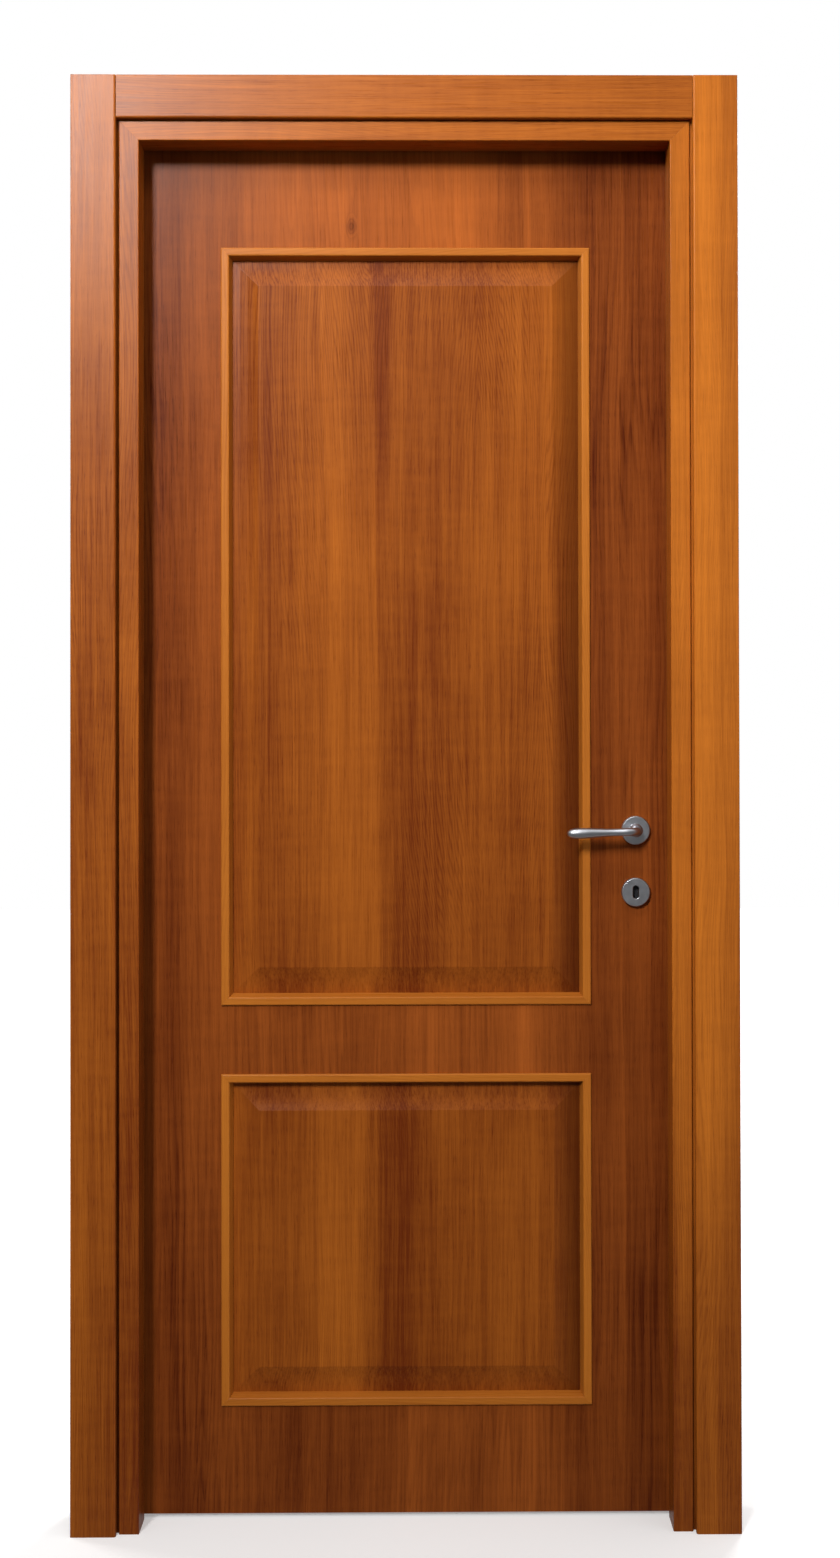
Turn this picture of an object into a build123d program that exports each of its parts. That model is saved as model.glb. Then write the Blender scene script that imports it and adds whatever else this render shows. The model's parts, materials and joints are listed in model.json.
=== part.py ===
from build123d import *
import os

os.makedirs("parts", exist_ok=True)

# Panelled door in its frame, for a wall that is left out. Lengths are in millimetres and angles
# in degrees. While the pieces are drawn, x = 0 is the middle of the doorway, y = 0 is the front
# face of the jambs with +y into the doorway, and z = 0 is the floor. The last step moves the
# whole part along y, so that its origin lies under the middle of its bounding box.

# Doorway and jambs
clear_width = 804.0
clear_height = 2100.0
jamb_thickness = 45.0
stop_width = 15.0
jamb_edge_round = 1.5
jamb_face_width = 30.0
shadow_gap_width = 6.0
shadow_gap_depth = 6.0

# Leaf in its rebate
leaf_recess = 58.0
leaf_thickness = 44.0
leaf_step_depth = 28.0
lip_width = 13.0
edge_gap = 3.5
lip_gap = 1.5
seal_gap = 4.0
floor_gap = 6.0
skin_thickness = 4.0
leaf_edge_bevel = 1.0

# Seal in the stop
seal_offset = 7.5
seal_stem_width = 2.8
seal_stem_length = 5.5
seal_head_width = 7.0
seal_groove_play = 0.1
seal_play = 0.3

# Architraves, with a tongue that slides in the step on the outside of the jambs
architrave_outer = 101.5
architrave_top = 96.5
architrave_thickness = 10.0
side_reveal = 33.5
head_reveal = 31.0
rear_reveal = 39.5
butt_gap = 0.5
tongue_thickness = 4.0
tongue_length = 17.0
tongue_step = 20.0
architrave_inner_round = 3.0
architrave_outer_round = 1.5

# Stiles and rails of the leaf; the upper panel fills what the rest leaves
stile_width = 136.5
bottom_rail_height = 172.0
lower_opening_height = 493.0
middle_rail_height = 120.5
top_rail_height = 167.5

# Their joints
tenon_thickness = 12.0
tenon_length = 45.0
tenon_shoulder = 20.0
tenon_play = 0.1

# Raised panels, fielded on both faces
panel_play = 1.0
panel_rim = 19.0
panel_field = 35.0
bevel_run = 40.6
bevel_hollow = 1.3

# Mouldings that hold the panels
moulding_overlap = 7.5
moulding_height = 4.5
moulding_top_width = 13.1
moulding_foot = 9.4
moulding_round = 2.5

# Lock, set into the edge of the leaf
backset = 60.0
handle_height = 1052.0
key_drop = 95.0
case_rear = 28.0
case_thickness = 16.0
case_wall = 1.25
case_above = 50.0
case_below = 155.0
mortise_play = 0.5
plate_width = 20.0
plate_thickness = 3.0
plate_overhang = 12.0
plate_corner = 9.5
bolt_thickness = 12.5
bolt_height = 30.0
bolt_play = 0.4
latch_reach = 11.5
latch_nose = 2.5
latch_shank = 2.0
latch_carrier_gap = 22.0
latch_tail_height = 6.0
hook_length = 5.0
hook_drop = 15.0
bolt_body = 44.0
bolt_throw = 14.0
bolt_notch_depth = 9.0
bolt_notch_height = 12.0
key_hole_radius = 3.0
key_blade_width = 3.0
key_blade_drop = 11.0

# Follower that turns in the lock and draws the latch
spindle_square = 8.0
spindle_play = 0.05
spindle_end_gap = 1.0
hub_radius = 9.5
journal_radius = 8.0
running_play = 0.05
arm_half_width = 3.0
arm_reach = 20.0
hub_play = 0.3
hook_play = 0.5
tail_play = 1.0

# Spring strip behind the latch
spring_thickness = 0.6
spring_width = 8.0
spring_bow = 9.0
spring_play = 0.3

# Lever handles
grip_axis_height = 41.75
neck_radius = 10.25
neck_shoulder = 13.0
neck_bevel = 1.0
neck_cone_height = 4.0
neck_cone_foot = 7.5
lever_foot_gap = 1.0
elbow_radius = 17.0
elbow_tube = 6.3
grip_waist = 5.75
grip_waist_at = 32.0
grip_swell = 8.2
grip_swell_at = 94.0
grip_taper = 0.05
nose_radius = 5.7
nose_length = 4.0
lever_length = 108.5
lever_droop = 1.5
spindle_socket = 24.0

# Roses and escutcheons, a cover over a screwed ring
rose_radius = 22.0
rose_height = 9.0
rose_wall = 2.0
rose_chamfer = 1.2
ring_height = 5.0
ring_play = 0.2
ring_bore = 11.5
ring_screw_spread = 15.5
slot_width = 9.0
slot_height = 20.0
slot_bevel = 0.8
spindle_bore = 9.5
key_bore_width = 11.0
key_bore_height = 26.0
key_bore_drop = 1.5

# Strike plate in the lock jamb
strike_width = 24.0
strike_thickness = 2.0
strike_margin = 26.0
strike_corner = 4.0
strike_screw_inset = 8.5
strike_back_land = 3.0
pocket_play = 2.5
pocket_end_play = 3.0
pocket_side_play = 1.75

# Pin hinges
hinge_foot_height = 250.0
hinge_head_drop = 231.5
hinge_middle_rise = 15.0
barrel_radius = 6.5
barrel_length = 40.0
barrel_round = 2.5
barrel_gap = 1.0
pin_radius = 3.5
pin_in_half = 30.0
pin_end_gap = 1.0
collar_radius = 5.5
collar_thickness = 1.2
collar_play = 0.3
stud_radius = 3.5
stud_cover = 1.0
stud_length = 44.0
stud_height = 18.0

# How far a cutting shape runs past what it cuts
past = 1.0

# Screws
screw_radius = 1.75
screw_head = 3.5
screw_head_height = 2.0
plate_screw_length = 20.0
ring_screw_length = 10.0
wall_screw_radius = 3.25
wall_screw_offset = 6.0
wall_screw_inset = 300.0

# Places that follow from the sizes above
half_clear = clear_width / 2
rebate_x = half_clear + stop_width
leaf_x = rebate_x - edge_gap
lip_x = leaf_x + lip_width
leaf_top = clear_height + stop_width - edge_gap
lip_top = leaf_top + lip_width
leaf_front = leaf_recess
leaf_back = leaf_front + leaf_thickness
leaf_middle = leaf_front + leaf_thickness / 2
lip_face = leaf_front + leaf_step_depth
shoulder_y = leaf_front - seal_gap
jamb_depth = lip_face - lip_gap
frame_top = clear_height + architrave_top
core_front = leaf_front + skin_thickness
core_back = leaf_back - skin_thickness
opening_x = leaf_x - stile_width
opening_width = 2 * opening_x
lower_opening_bottom = floor_gap + bottom_rail_height
lower_opening_top = lower_opening_bottom + lower_opening_height
upper_opening_bottom = lower_opening_top + middle_rail_height
upper_opening_top = leaf_top - top_rail_height
upper_opening_height = upper_opening_top - upper_opening_bottom
handle_x = leaf_x - backset
key_height = handle_height - key_drop
lock_y = leaf_front + leaf_step_depth / 2
plate_back = leaf_x - plate_thickness
case_x = handle_x - case_rear
case_top = handle_height + case_above
case_bottom = handle_height - case_below
latch_low = handle_height - bolt_height / 2
tail_low = handle_height + arm_reach + tail_play
tail_top = tail_low + latch_tail_height
hook_x = handle_x - arm_half_width - hook_play
bolt_low = key_height - bolt_height / 2
hinge_x = -(lip_x + barrel_gap + barrel_radius)
hinge_y = core_back - stud_cover - stud_radius
hinge_head_height = leaf_top - hinge_head_drop
hinge_middle_height = (hinge_foot_height + hinge_head_height) / 2 + hinge_middle_rise
hinge_heights = (hinge_foot_height, hinge_middle_height, hinge_head_height)
pocket_depth = bolt_throw + pocket_end_play
strike_y = jamb_depth - strike_back_land - strike_width / 2
strike_low = bolt_low - strike_margin
strike_high = handle_height + bolt_height / 2 + strike_margin
wall_screw_y = shoulder_y + wall_screw_offset
wall_screw_heights = (wall_screw_inset, clear_height - wall_screw_inset)
origin_y = (leaf_back + grip_axis_height + grip_swell - architrave_thickness) / 2


def block(x, y, z):
    """Box between the two limits given on each axis."""
    sizes = [high - low for low, high in (x, y, z)]
    middle = [(high + low) / 2 for low, high in (x, y, z)]
    return Pos(*middle) * Box(*sizes)


def front_prism(outline, y):
    """Solid with the outline given in x and z, between two depths."""
    face = Plane.XZ * make_face(Polyline(*outline, close=True))
    return Pos(0, y[1], 0) * extrude(face, y[1] - y[0])


def turned(outline):
    """Solid of revolution about z from an outline in radius and height."""
    return revolve(Plane.XZ * make_face(Polyline(*outline, close=True)), Axis.Z)


def round_bar(radius, start, direction, length):
    """Cylinder from a point, along a direction."""
    return extrude(Plane(origin=start, z_dir=direction) * Circle(radius), length)


def slot_bar(width, height, x, y, z):
    """Upright slot with round ends, running between two depths."""
    face = Plane.XZ * Rot(0, 0, 90) * SlotOverall(height, width)
    return Pos(x, y[1], z) * extrude(face, y[1] - y[0])


def both_faces(shape):
    """The shape and its copy on the other face of the leaf."""
    return [shape, mirror(shape, about=Plane.XZ.offset(-leaf_middle))]


def screw(start, direction, length):
    """Countersunk screw whose flat head lies at the start point."""
    tip = length - screw_radius
    outline = [
        (0, 0),
        (screw_head, 0),
        (screw_radius, -screw_head_height),
        (screw_radius, -tip),
        (0, -length),
    ]
    away = tuple(-part for part in direction)
    return Plane(origin=start, z_dir=away) * turned(outline)


# Jambs: a front member with the stop and a rear strip beside the leaf, mitred at the top corners
def jamb_section():
    """Front member, with x outwards from the clear opening and y into the doorway."""
    groove = seal_stem_width / 2 + seal_groove_play
    groove_end = shoulder_y - seal_stem_length - seal_play
    step_x = jamb_thickness - tongue_thickness
    outline = [
        (0, 0),
        (jamb_face_width, 0),
        (jamb_face_width, shadow_gap_depth),
        (jamb_face_width + shadow_gap_width, shadow_gap_depth),
        (jamb_face_width + shadow_gap_width, 0),
        (step_x, 0),
        (step_x, tongue_step),
        (jamb_thickness, tongue_step),
        (jamb_thickness, shoulder_y),
        (seal_offset + groove, shoulder_y),
        (seal_offset + groove, groove_end),
        (seal_offset - groove, groove_end),
        (seal_offset - groove, shoulder_y),
        (0, shoulder_y),
    ]
    section = make_face(Polyline(*outline, close=True))
    corners = section.vertices().group_by(Axis.X)[0]
    corners += section.vertices().group_by(Axis.Y)[0].sort_by(Axis.X)[1:2]
    return fillet(corners, jamb_edge_round)


def strip_section():
    """Rear strip, which carries the strike, the hinges and the rear architraves."""
    step_x = jamb_thickness - tongue_thickness
    outline = [
        (stop_width, shoulder_y),
        (jamb_thickness, shoulder_y),
        (jamb_thickness, jamb_depth - tongue_step),
        (step_x, jamb_depth - tongue_step),
        (step_x, jamb_depth),
        (stop_width, jamb_depth),
    ]
    section = make_face(Polyline(*outline, close=True))
    inner_corner = section.vertices().group_by(Axis.Y)[-1].sort_by(Axis.X)[0]
    return fillet(inner_corner, jamb_edge_round)


def seal_section():
    """Stem in the groove and a round head that meets the face of the leaf."""
    stem = seal_stem_width / 2
    head = seal_head_width / 2
    crown = leaf_front - seal_play
    left = seal_offset - head
    right = seal_offset + head
    lines = Polyline(
        (right, shoulder_y),
        (seal_offset + stem, shoulder_y),
        (seal_offset + stem, shoulder_y - seal_stem_length),
        (seal_offset - stem, shoulder_y - seal_stem_length),
        (seal_offset - stem, shoulder_y),
        (left, shoulder_y),
    )
    crown_arc = ThreePointArc((left, shoulder_y), (seal_offset, crown), (right, shoulder_y))
    return make_face(lines + crown_arc)


corner = (half_clear + jamb_thickness, clear_height + jamb_thickness)
head_region = front_prism(
    [(-half_clear, clear_height), (half_clear, clear_height), corner, (-corner[0], corner[1])],
    (-past, jamb_depth + past),
)


def side_member(section):
    """Upright on the lock side, cut to the mitre."""
    return Pos(half_clear, 0, 0) * extrude(section, corner[1]) - head_region


def head_member(section):
    """Cross piece between the two mitres."""
    bar = Rot(0, -90, 0) * extrude(section, 2 * corner[0])
    return Pos(corner[0], 0, clear_height) * bar & head_region


wall_holes = [
    round_bar(wall_screw_radius, (half_clear, wall_screw_y, z), (1, 0, 0), jamb_thickness + past)
    for z in wall_screw_heights
]
jamb_head = head_member(jamb_section())
jamb_lock = side_member(jamb_section())
strip_head = head_member(strip_section())
strip_lock = side_member(strip_section()) - wall_holes
strip_hinge = mirror(strip_lock, about=Plane.YZ)
seal_side = side_member(seal_section())
frame_seal = seal_side + head_member(seal_section()) + mirror(seal_side, about=Plane.YZ)


# Architraves: a rounded board with a tongue, butted at the top corners
def board_section(inner, outer):
    """Board lying on the wall face at y = 0 and standing out towards the front."""
    face = make_face(
        Polyline(
            (inner, 0),
            (outer, 0),
            (outer, -architrave_thickness),
            (inner, -architrave_thickness),
            close=True,
        )
    )
    front = face.vertices().group_by(Axis.Y)[0].sort_by(Axis.X)
    face = fillet(front[0], architrave_inner_round)
    front = face.vertices().group_by(Axis.Y)[0].sort_by(Axis.X)
    return fillet(front[-1], architrave_outer_round)


def tongue_section():
    """Tongue behind the board, flush with the outside of the jamb."""
    outline = [
        (jamb_thickness - tongue_thickness, 0),
        (jamb_thickness, 0),
        (jamb_thickness, tongue_length),
        (jamb_thickness - tongue_thickness, tongue_length),
    ]
    return make_face(Polyline(*outline, close=True))


def side_architrave(reveal):
    """Full-height board on the lock side of the doorway, on the front of the wall."""
    board = extrude(board_section(reveal, architrave_outer), frame_top)
    return Pos(half_clear, 0, 0) * (board + extrude(tongue_section(), frame_top))


def head_architrave(reveal, side_inner):
    """Cross board that fits between the two side boards."""
    length = 2 * (half_clear + side_inner - butt_gap)
    board = Rot(0, -90, 0) * extrude(board_section(reveal, architrave_top), length)
    tongue = Rot(0, -90, 0) * extrude(tongue_section(), clear_width)
    raised_board = Pos(length / 2, 0, clear_height) * board
    return raised_board + Pos(half_clear, 0, clear_height) * tongue


def to_rear(shape):
    """The same piece on the far face of the wall."""
    return mirror(shape, about=Plane.XZ.offset(-jamb_depth / 2))


front_side_board = side_architrave(side_reveal)
rear_side_board = to_rear(side_architrave(rear_reveal))
front_head_board = head_architrave(head_reveal, side_reveal)
rear_head_board = to_rear(head_architrave(rear_reveal, rear_reveal))


# Leaf core: stiles and rails with tenons, between two skins
def core_piece(x_inner, x_outer, x_lip, z):
    """Core member in two layers, the far one running on into the lip."""
    near = block((x_inner, x_outer), (core_front, lip_face), z)
    far = block((x_inner, x_lip), (lip_face, core_back), z)
    return near + far


def with_top_lip(piece, x):
    """Adds the lip above a member that reaches the top of the leaf."""
    return piece + block(x, (lip_face, core_back), (leaf_top, lip_top))


def tenons(z, play=0.0):
    """Pair of tenons at the ends of a rail, or with play their mortises."""
    reach = opening_x + tenon_length + play
    half = tenon_thickness / 2 + play
    height = (z[0] + tenon_shoulder - play, z[1] - tenon_shoulder + play)
    return block((-reach, reach), (leaf_middle - half, leaf_middle + half), height)


rail_spans = {
    "bottom": (floor_gap, lower_opening_bottom),
    "middle": (lower_opening_top, upper_opening_bottom),
    "top": (upper_opening_top, leaf_top),
}
stile = core_piece(opening_x, leaf_x, lip_x, (floor_gap, leaf_top))
stile = with_top_lip(stile, (opening_x, lip_x))
for span in rail_spans.values():
    stile -= tenons(span, tenon_play)
rails = {}
for name, span in rail_spans.items():
    rail = block((-opening_x, opening_x), (core_front, core_back), span)
    rails[name] = rail + tenons(span)
rails["top"] = with_top_lip(rails["top"], (-opening_x, opening_x))


def skin(half_width, top, y):
    """Veneered sheet with the two panel openings."""
    sheet = block((-half_width, half_width), y, (floor_gap, top))
    through = (y[0] - past, y[1] + past)
    lower = (lower_opening_bottom, lower_opening_top)
    upper = (upper_opening_bottom, upper_opening_top)
    for span in (lower, upper):
        sheet -= block((-opening_x, opening_x), through, span)
    return sheet


front_skin = skin(leaf_x, leaf_top, (leaf_front, core_front))
back_skin = skin(lip_x, lip_top, (core_back, leaf_back))
for end in (0, -1):
    outer_edges = front_skin.edges().filter_by(Axis.Z).group_by(Axis.X)[end]
    front_skin = chamfer(outer_edges.sort_by(Axis.Y)[:1], leaf_edge_bevel)
    outer_edges = back_skin.edges().filter_by(Axis.Z).group_by(Axis.X)[end]
    back_skin = chamfer(outer_edges.sort_by(Axis.Y)[-1:], leaf_edge_bevel)


# Raised panels: the same hollow bevel on all four sides of both faces
def panel_section(span):
    """Section across the panel, centred, with y through the thickness."""
    edge = span / 2
    rim = panel_rim / 2
    field = panel_field / 2
    foot = edge + panel_play - moulding_foot
    crest = foot - bevel_run
    middle = ((foot + crest) / 2, (rim + field) / 2 - bevel_hollow)
    right_bevel = ThreePointArc((foot, rim), middle, (crest, field))
    left_bevel = ThreePointArc((-foot, rim), (-middle[0], middle[1]), (-crest, field))
    upper = (
        Polyline((edge, 0), (edge, rim), (foot, rim))
        + right_bevel
        + Line((crest, field), (-crest, field))
        + left_bevel
        + Polyline((-foot, rim), (-edge, rim), (-edge, 0))
    )
    return make_face(upper + mirror(upper, about=Plane.XZ))


def raised_panel(bottom, height):
    """Panel that fills an opening, less its play all round."""
    width = opening_width - 2 * panel_play
    tall = height - 2 * panel_play
    across = Pos(0, 0, -tall / 2) * extrude(panel_section(width), tall)
    along = Rot(0, 90, 0) * Pos(0, 0, -width / 2) * extrude(panel_section(tall), width)
    return Pos(0, leaf_middle, bottom + height / 2) * (across & along)


lower_panel = raised_panel(lower_opening_bottom, lower_opening_height)
upper_panel = raised_panel(upper_opening_bottom, upper_opening_height)


# Mouldings: four mitred bars round each opening, on both faces
def moulding_section():
    """Section with x from the edge of the opening to the panel and y out of the leaf."""
    foot = (panel_rim - leaf_thickness) / 2
    shelf = moulding_top_width - moulding_overlap
    outline = [
        (-moulding_overlap, 0),
        (0, 0),
        (0, foot),
        (moulding_foot, foot),
        (shelf, moulding_height - moulding_round),
        (shelf, moulding_height),
        (-moulding_overlap, moulding_height),
    ]
    section = make_face(Polyline(*outline, close=True))
    return fillet(section.vertices().group_by(Axis.Y)[-1], moulding_round)


def moulding_bar(length, across):
    """Lower bar of a frame round an opening of this length and height, centred on it."""
    low = -across / 2
    outer = length / 2 + moulding_overlap
    inner = length / 2 - moulding_foot
    run = Plane(origin=(-outer, leaf_front, low), x_dir=(0, 0, 1), z_dir=(1, 0, 0))
    bar = extrude(run * moulding_section(), 2 * outer)
    mitred = [
        (-outer, low - moulding_overlap),
        (outer, low - moulding_overlap),
        (inner, low + moulding_foot),
        (-inner, low + moulding_foot),
    ]
    depth = (leaf_front - moulding_height, leaf_middle)
    return bar & front_prism(mitred, depth)


def moulding_frame(bottom, height):
    """The four bars of one opening on the front face, by side."""
    cross = moulding_bar(opening_width, height)
    upright = moulding_bar(height, opening_width)
    centre = Pos(0, 0, bottom + height / 2)
    return {
        "bottom": centre * cross,
        "top": centre * Rot(0, 180, 0) * cross,
        "left": centre * Rot(0, 90, 0) * upright,
        "right": centre * Rot(0, -90, 0) * upright,
    }


# Lock parts
lock_span = (lock_y - case_thickness / 2, lock_y + case_thickness / 2)
bolt_span = (lock_y - bolt_thickness / 2, lock_y + bolt_thickness / 2)
mortise_span = (lock_span[0] - mortise_play, lock_span[1] + mortise_play)


def along_y(face, y):
    """Extrudes a face of x and z between two depths, at the handle."""
    return Pos(handle_x, y[1], handle_height) * extrude(Plane.XZ * face, y[1] - y[0])


def key_hole(y):
    """Round hole with a slot below it for the blade of the key."""
    drop = block(
        (handle_x - key_blade_width / 2, handle_x + key_blade_width / 2),
        y,
        (key_height - key_blade_drop, key_height),
    )
    bow = round_bar(key_hole_radius, (handle_x, y[0], key_height), (0, 1, 0), y[1] - y[0])
    return bow + drop


def latch():
    """Sprung bolt with a bevelled head, a tail over the follower and a hook behind its arm."""
    face = leaf_x + latch_reach
    head_outline = [
        (plate_back - latch_shank, bolt_span[0]),
        (leaf_x, bolt_span[0]),
        (face, bolt_span[1] - latch_nose),
        (face, bolt_span[1]),
        (plate_back - latch_shank, bolt_span[1]),
    ]
    head = extrude(make_face(Polyline(*head_outline, close=True)), bolt_height)
    head = Pos(0, 0, latch_low) * head
    carrier_x = handle_x + hub_radius + latch_carrier_gap
    carrier = block((carrier_x, plate_back - latch_shank), bolt_span, (latch_low, tail_top))
    tail = block((hook_x - hook_length, carrier_x), bolt_span, (tail_low, tail_top))
    hook = block((hook_x - hook_length, hook_x), bolt_span, (tail_top - hook_drop, tail_top))
    return head + carrier + tail + hook


def dead_bolt_body():
    """Plain bolt with a notch on its rear end for the key."""
    end = leaf_x - bolt_play / 2
    body = block((end - bolt_body, end), bolt_span, (bolt_low, bolt_low + bolt_height))
    notch = block(
        (end - bolt_body, end - bolt_body + bolt_notch_depth),
        bolt_span,
        (key_height - bolt_notch_height / 2, key_height + bolt_notch_height / 2),
    )
    return body - notch


def follower():
    """Hub with two journals, a square hole and one arm."""
    inside = case_thickness / 2 - case_wall - hub_play
    outside = case_thickness / 2
    hub = along_y(Circle(hub_radius), (lock_y - inside, lock_y + inside))
    journal = along_y(Circle(journal_radius), (lock_y - outside, lock_y + outside))
    arm_face = Pos(0, arm_reach / 2) * Rectangle(2 * arm_half_width, arm_reach)
    arm = along_y(arm_face, (lock_y - inside, lock_y + inside))
    side = spindle_square + 2 * spindle_play
    square = along_y(Rectangle(side, side), (lock_y - outside - past, lock_y + outside + past))
    return hub + journal + arm - square


def lock_case():
    """Folded steel case, open towards the edge of the leaf."""
    outer = block((case_x, plate_back), lock_span, (case_bottom, case_top))
    inner = block(
        (case_x + case_wall, plate_back + past),
        (lock_span[0] + case_wall, lock_span[1] - case_wall),
        (case_bottom + case_wall, case_top - case_wall),
    )
    through = (lock_span[0] - past, lock_span[1] + past)
    bearing = along_y(Circle(journal_radius + running_play), through)
    return outer - inner - bearing - key_hole(through)


def edge_plate(width, thickness, low, high, x, y, corner_radius):
    """Plate with rounded corners, lying across x on the edge of a member."""
    face = Plane.YZ * RectangleRounded(width, high - low, corner_radius)
    return Pos(x, y, (low + high) / 2) * extrude(face, thickness)


def bolt_window(play, low, x):
    """Clear way for a bolt through a plate or into a jamb."""
    return block(
        x,
        (bolt_span[0] - play, bolt_span[1] + play),
        (low - play, low + bolt_height + play),
    )


plate_low = case_bottom - plate_overhang
plate_high = case_top + plate_overhang
face_plate = edge_plate(
    plate_width, plate_thickness, plate_low, plate_high, plate_back, lock_y, plate_corner
)
plate_way = (plate_back - past, leaf_x + past)
face_plate_blank = face_plate
face_plate -= bolt_window(bolt_play, latch_low, plate_way)
face_plate -= bolt_window(bolt_play, bolt_low, plate_way)
plate_screws = [
    screw((leaf_x, lock_y, z), (-1, 0, 0), plate_screw_length)
    for z in (plate_low + plate_overhang / 2, plate_high - plate_overhang / 2)
]

strike_plate = edge_plate(
    strike_width, strike_thickness, strike_low, strike_high, rebate_x, strike_y, strike_corner
)
strike_blank = strike_plate
pocket_way = (rebate_x - past, rebate_x + pocket_depth)
pockets = [
    block(
        pocket_way,
        (bolt_span[0] - pocket_side_play, bolt_span[1] + pocket_side_play),
        (low - pocket_play, low + bolt_height + pocket_play),
    )
    for low in (latch_low, bolt_low)
]
strike_screws = [
    screw((rebate_x, strike_y, z), (1, 0, 0), plate_screw_length)
    for z in (strike_low + strike_screw_inset, strike_high - strike_screw_inset)
]
strike_plate = strike_plate - pockets - strike_screws
strip_lock = strip_lock - strike_blank - pockets - strike_screws

spring_middle = tail_top - hook_drop / 2
spring_back = case_x + case_wall + spring_play
spring_front = hook_x - hook_length - spring_play
spring_outer = ThreePointArc(
    (spring_back, spring_middle + spring_bow),
    (spring_front, spring_middle),
    (spring_back, spring_middle - spring_bow),
)
spring_face = Plane.XZ * make_face(
    spring_outer
    + Line(spring_outer @ 1, (spring_back + spring_thickness, spring_middle - spring_bow))
    + ThreePointArc(
        (spring_back + spring_thickness, spring_middle - spring_bow),
        (spring_front - spring_thickness, spring_middle),
        (spring_back + spring_thickness, spring_middle + spring_bow),
    )
    + Line((spring_back + spring_thickness, spring_middle + spring_bow), spring_outer @ 0)
)
latch_spring = Pos(0, lock_y + spring_width / 2, 0) * extrude(spring_face, spring_width)


# Lever handles, turned grips on an elbow and a neck that turns in the rose
def grip():
    """Grip turned about x, from the elbow through a waist and a swell to a blunt nose."""
    waist = (grip_waist_at, grip_waist)
    swell = (grip_swell_at, grip_swell)
    middle = ((waist[0] + swell[0]) / 2, (waist[1] + swell[1]) / 2)
    start = (elbow_radius, elbow_tube)
    nose = (lever_length - nose_length, nose_radius)
    tip = (lever_length, 0)
    ends = [(1, -grip_taper), (0, -1)]
    side = Spline(start, waist, middle, swell, nose, tip, tangents=ends)
    outline = side + Line(tip, (elbow_radius, 0)) + Line((elbow_radius, 0), start)
    return revolve(make_face(outline), Axis.X)


def lever():
    """Lever with its neck along z and its grip along x, the leaf face at z = 0."""
    bend_start = grip_axis_height - elbow_radius
    neck = turned(
        [
            (0, lever_foot_gap),
            (neck_radius, lever_foot_gap),
            (neck_radius, neck_shoulder),
            (neck_radius - neck_bevel, neck_shoulder + neck_bevel),
            (neck_cone_foot, neck_shoulder + neck_cone_height),
            (elbow_tube, bend_start),
            (0, bend_start),
        ]
    )
    section = Plane(origin=(0, 0, bend_start)) * Circle(elbow_tube)
    elbow = revolve(section, Axis((elbow_radius, 0, bend_start), (0, 1, 0)), revolution_arc=90)
    return neck + elbow + Pos(0, 0, grip_axis_height) * grip()


def on_face(shape, front, x, z):
    """Sets a fitting with its base on one face of the leaf."""
    y = leaf_front if front else leaf_back
    out = -1 if front else 1
    return Plane(origin=(x, y, z), x_dir=(-1, 0, 0), z_dir=(0, out, 0)) * shape


def drooped(shape):
    """Turns a lever about the spindle by its droop."""
    centre = Pos(handle_x, 0, handle_height)
    return centre * Rot(0, -lever_droop, 0) * centre.inverse() * shape


def rose(bore):
    """Turned cover with a bevelled rim and a boss round its bore."""
    inner = rose_radius - rose_wall
    top = rose_height
    outline = [
        (rose_radius, 0),
        (rose_radius, top - rose_chamfer),
        (rose_radius - rose_chamfer, top),
        (bore, top),
        (bore, top - rose_wall),
        (inner, top - rose_wall),
        (inner, 0),
    ]
    return turned(outline)


def escutcheon():
    """The same cover with a slot for the key."""
    slot = Rot(0, 0, 90) * SlotOverall(slot_height, slot_width)
    slot_cut = Pos(0, 0, -past) * extrude(slot, rose_height + 2 * past)
    rim = Pos(0, 0, rose_height - slot_bevel) * extrude(slot, slot_bevel, taper=-45)
    return rose(0.0) - slot_cut - rim


def ring():
    """Flat ring that holds a cover, before its screw holes are cut."""
    outer = rose_radius - rose_wall - ring_play
    return turned([(ring_bore, 0), (outer, 0), (outer, ring_height), (ring_bore, ring_height)])


def square_bar(side, reach):
    """Square bar through the leaf that reaches this far out of each face."""
    return along_y(Rectangle(side, side), (leaf_front - reach, leaf_back + reach))


lever_shape = lever()
socket = square_bar(spindle_square + 2 * spindle_play, spindle_socket)
front_lever = drooped(on_face(lever_shape, True, handle_x, handle_height)) - socket
rear_lever = drooped(on_face(lever_shape, False, handle_x, handle_height)) - socket
spindle = square_bar(spindle_square, spindle_socket - spindle_end_gap)
rose_shape = rose(neck_radius + running_play)
escutcheon_shape = escutcheon()
rings = []
ring_screws = []
for front in (True, False):
    out = -1 if front else 1
    face = leaf_front if front else leaf_back
    for z in (handle_height, key_height):
        rings.append(on_face(ring(), front, handle_x, z))
        for side in (-1, 1):
            head = (handle_x + side * ring_screw_spread, face + out * ring_height, z)
            ring_screws.append(screw(head, (0, -out, 0), ring_screw_length))
rose_rings = Compound(rings) - ring_screws

# Ways through the leaf for the lock, the spindle and the key
leaf_way = (leaf_front - past, leaf_back + past)
mortise = block(
    (case_x - mortise_play, plate_back),
    mortise_span,
    (case_bottom - mortise_play, case_top + mortise_play),
)
ways = [
    mortise,
    face_plate_blank,
    along_y(Circle(spindle_bore), leaf_way),
    slot_bar(key_bore_width, key_bore_height, handle_x, leaf_way, key_height - key_bore_drop),
]
lock_stile = stile - ways - plate_screws - ring_screws
front_skin = front_skin - ways[2:] - ring_screws
back_skin = back_skin - ways[2:] - ring_screws
face_plate = face_plate - plate_screws
hinge_stile = mirror(stile, about=Plane.YZ)


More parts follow.
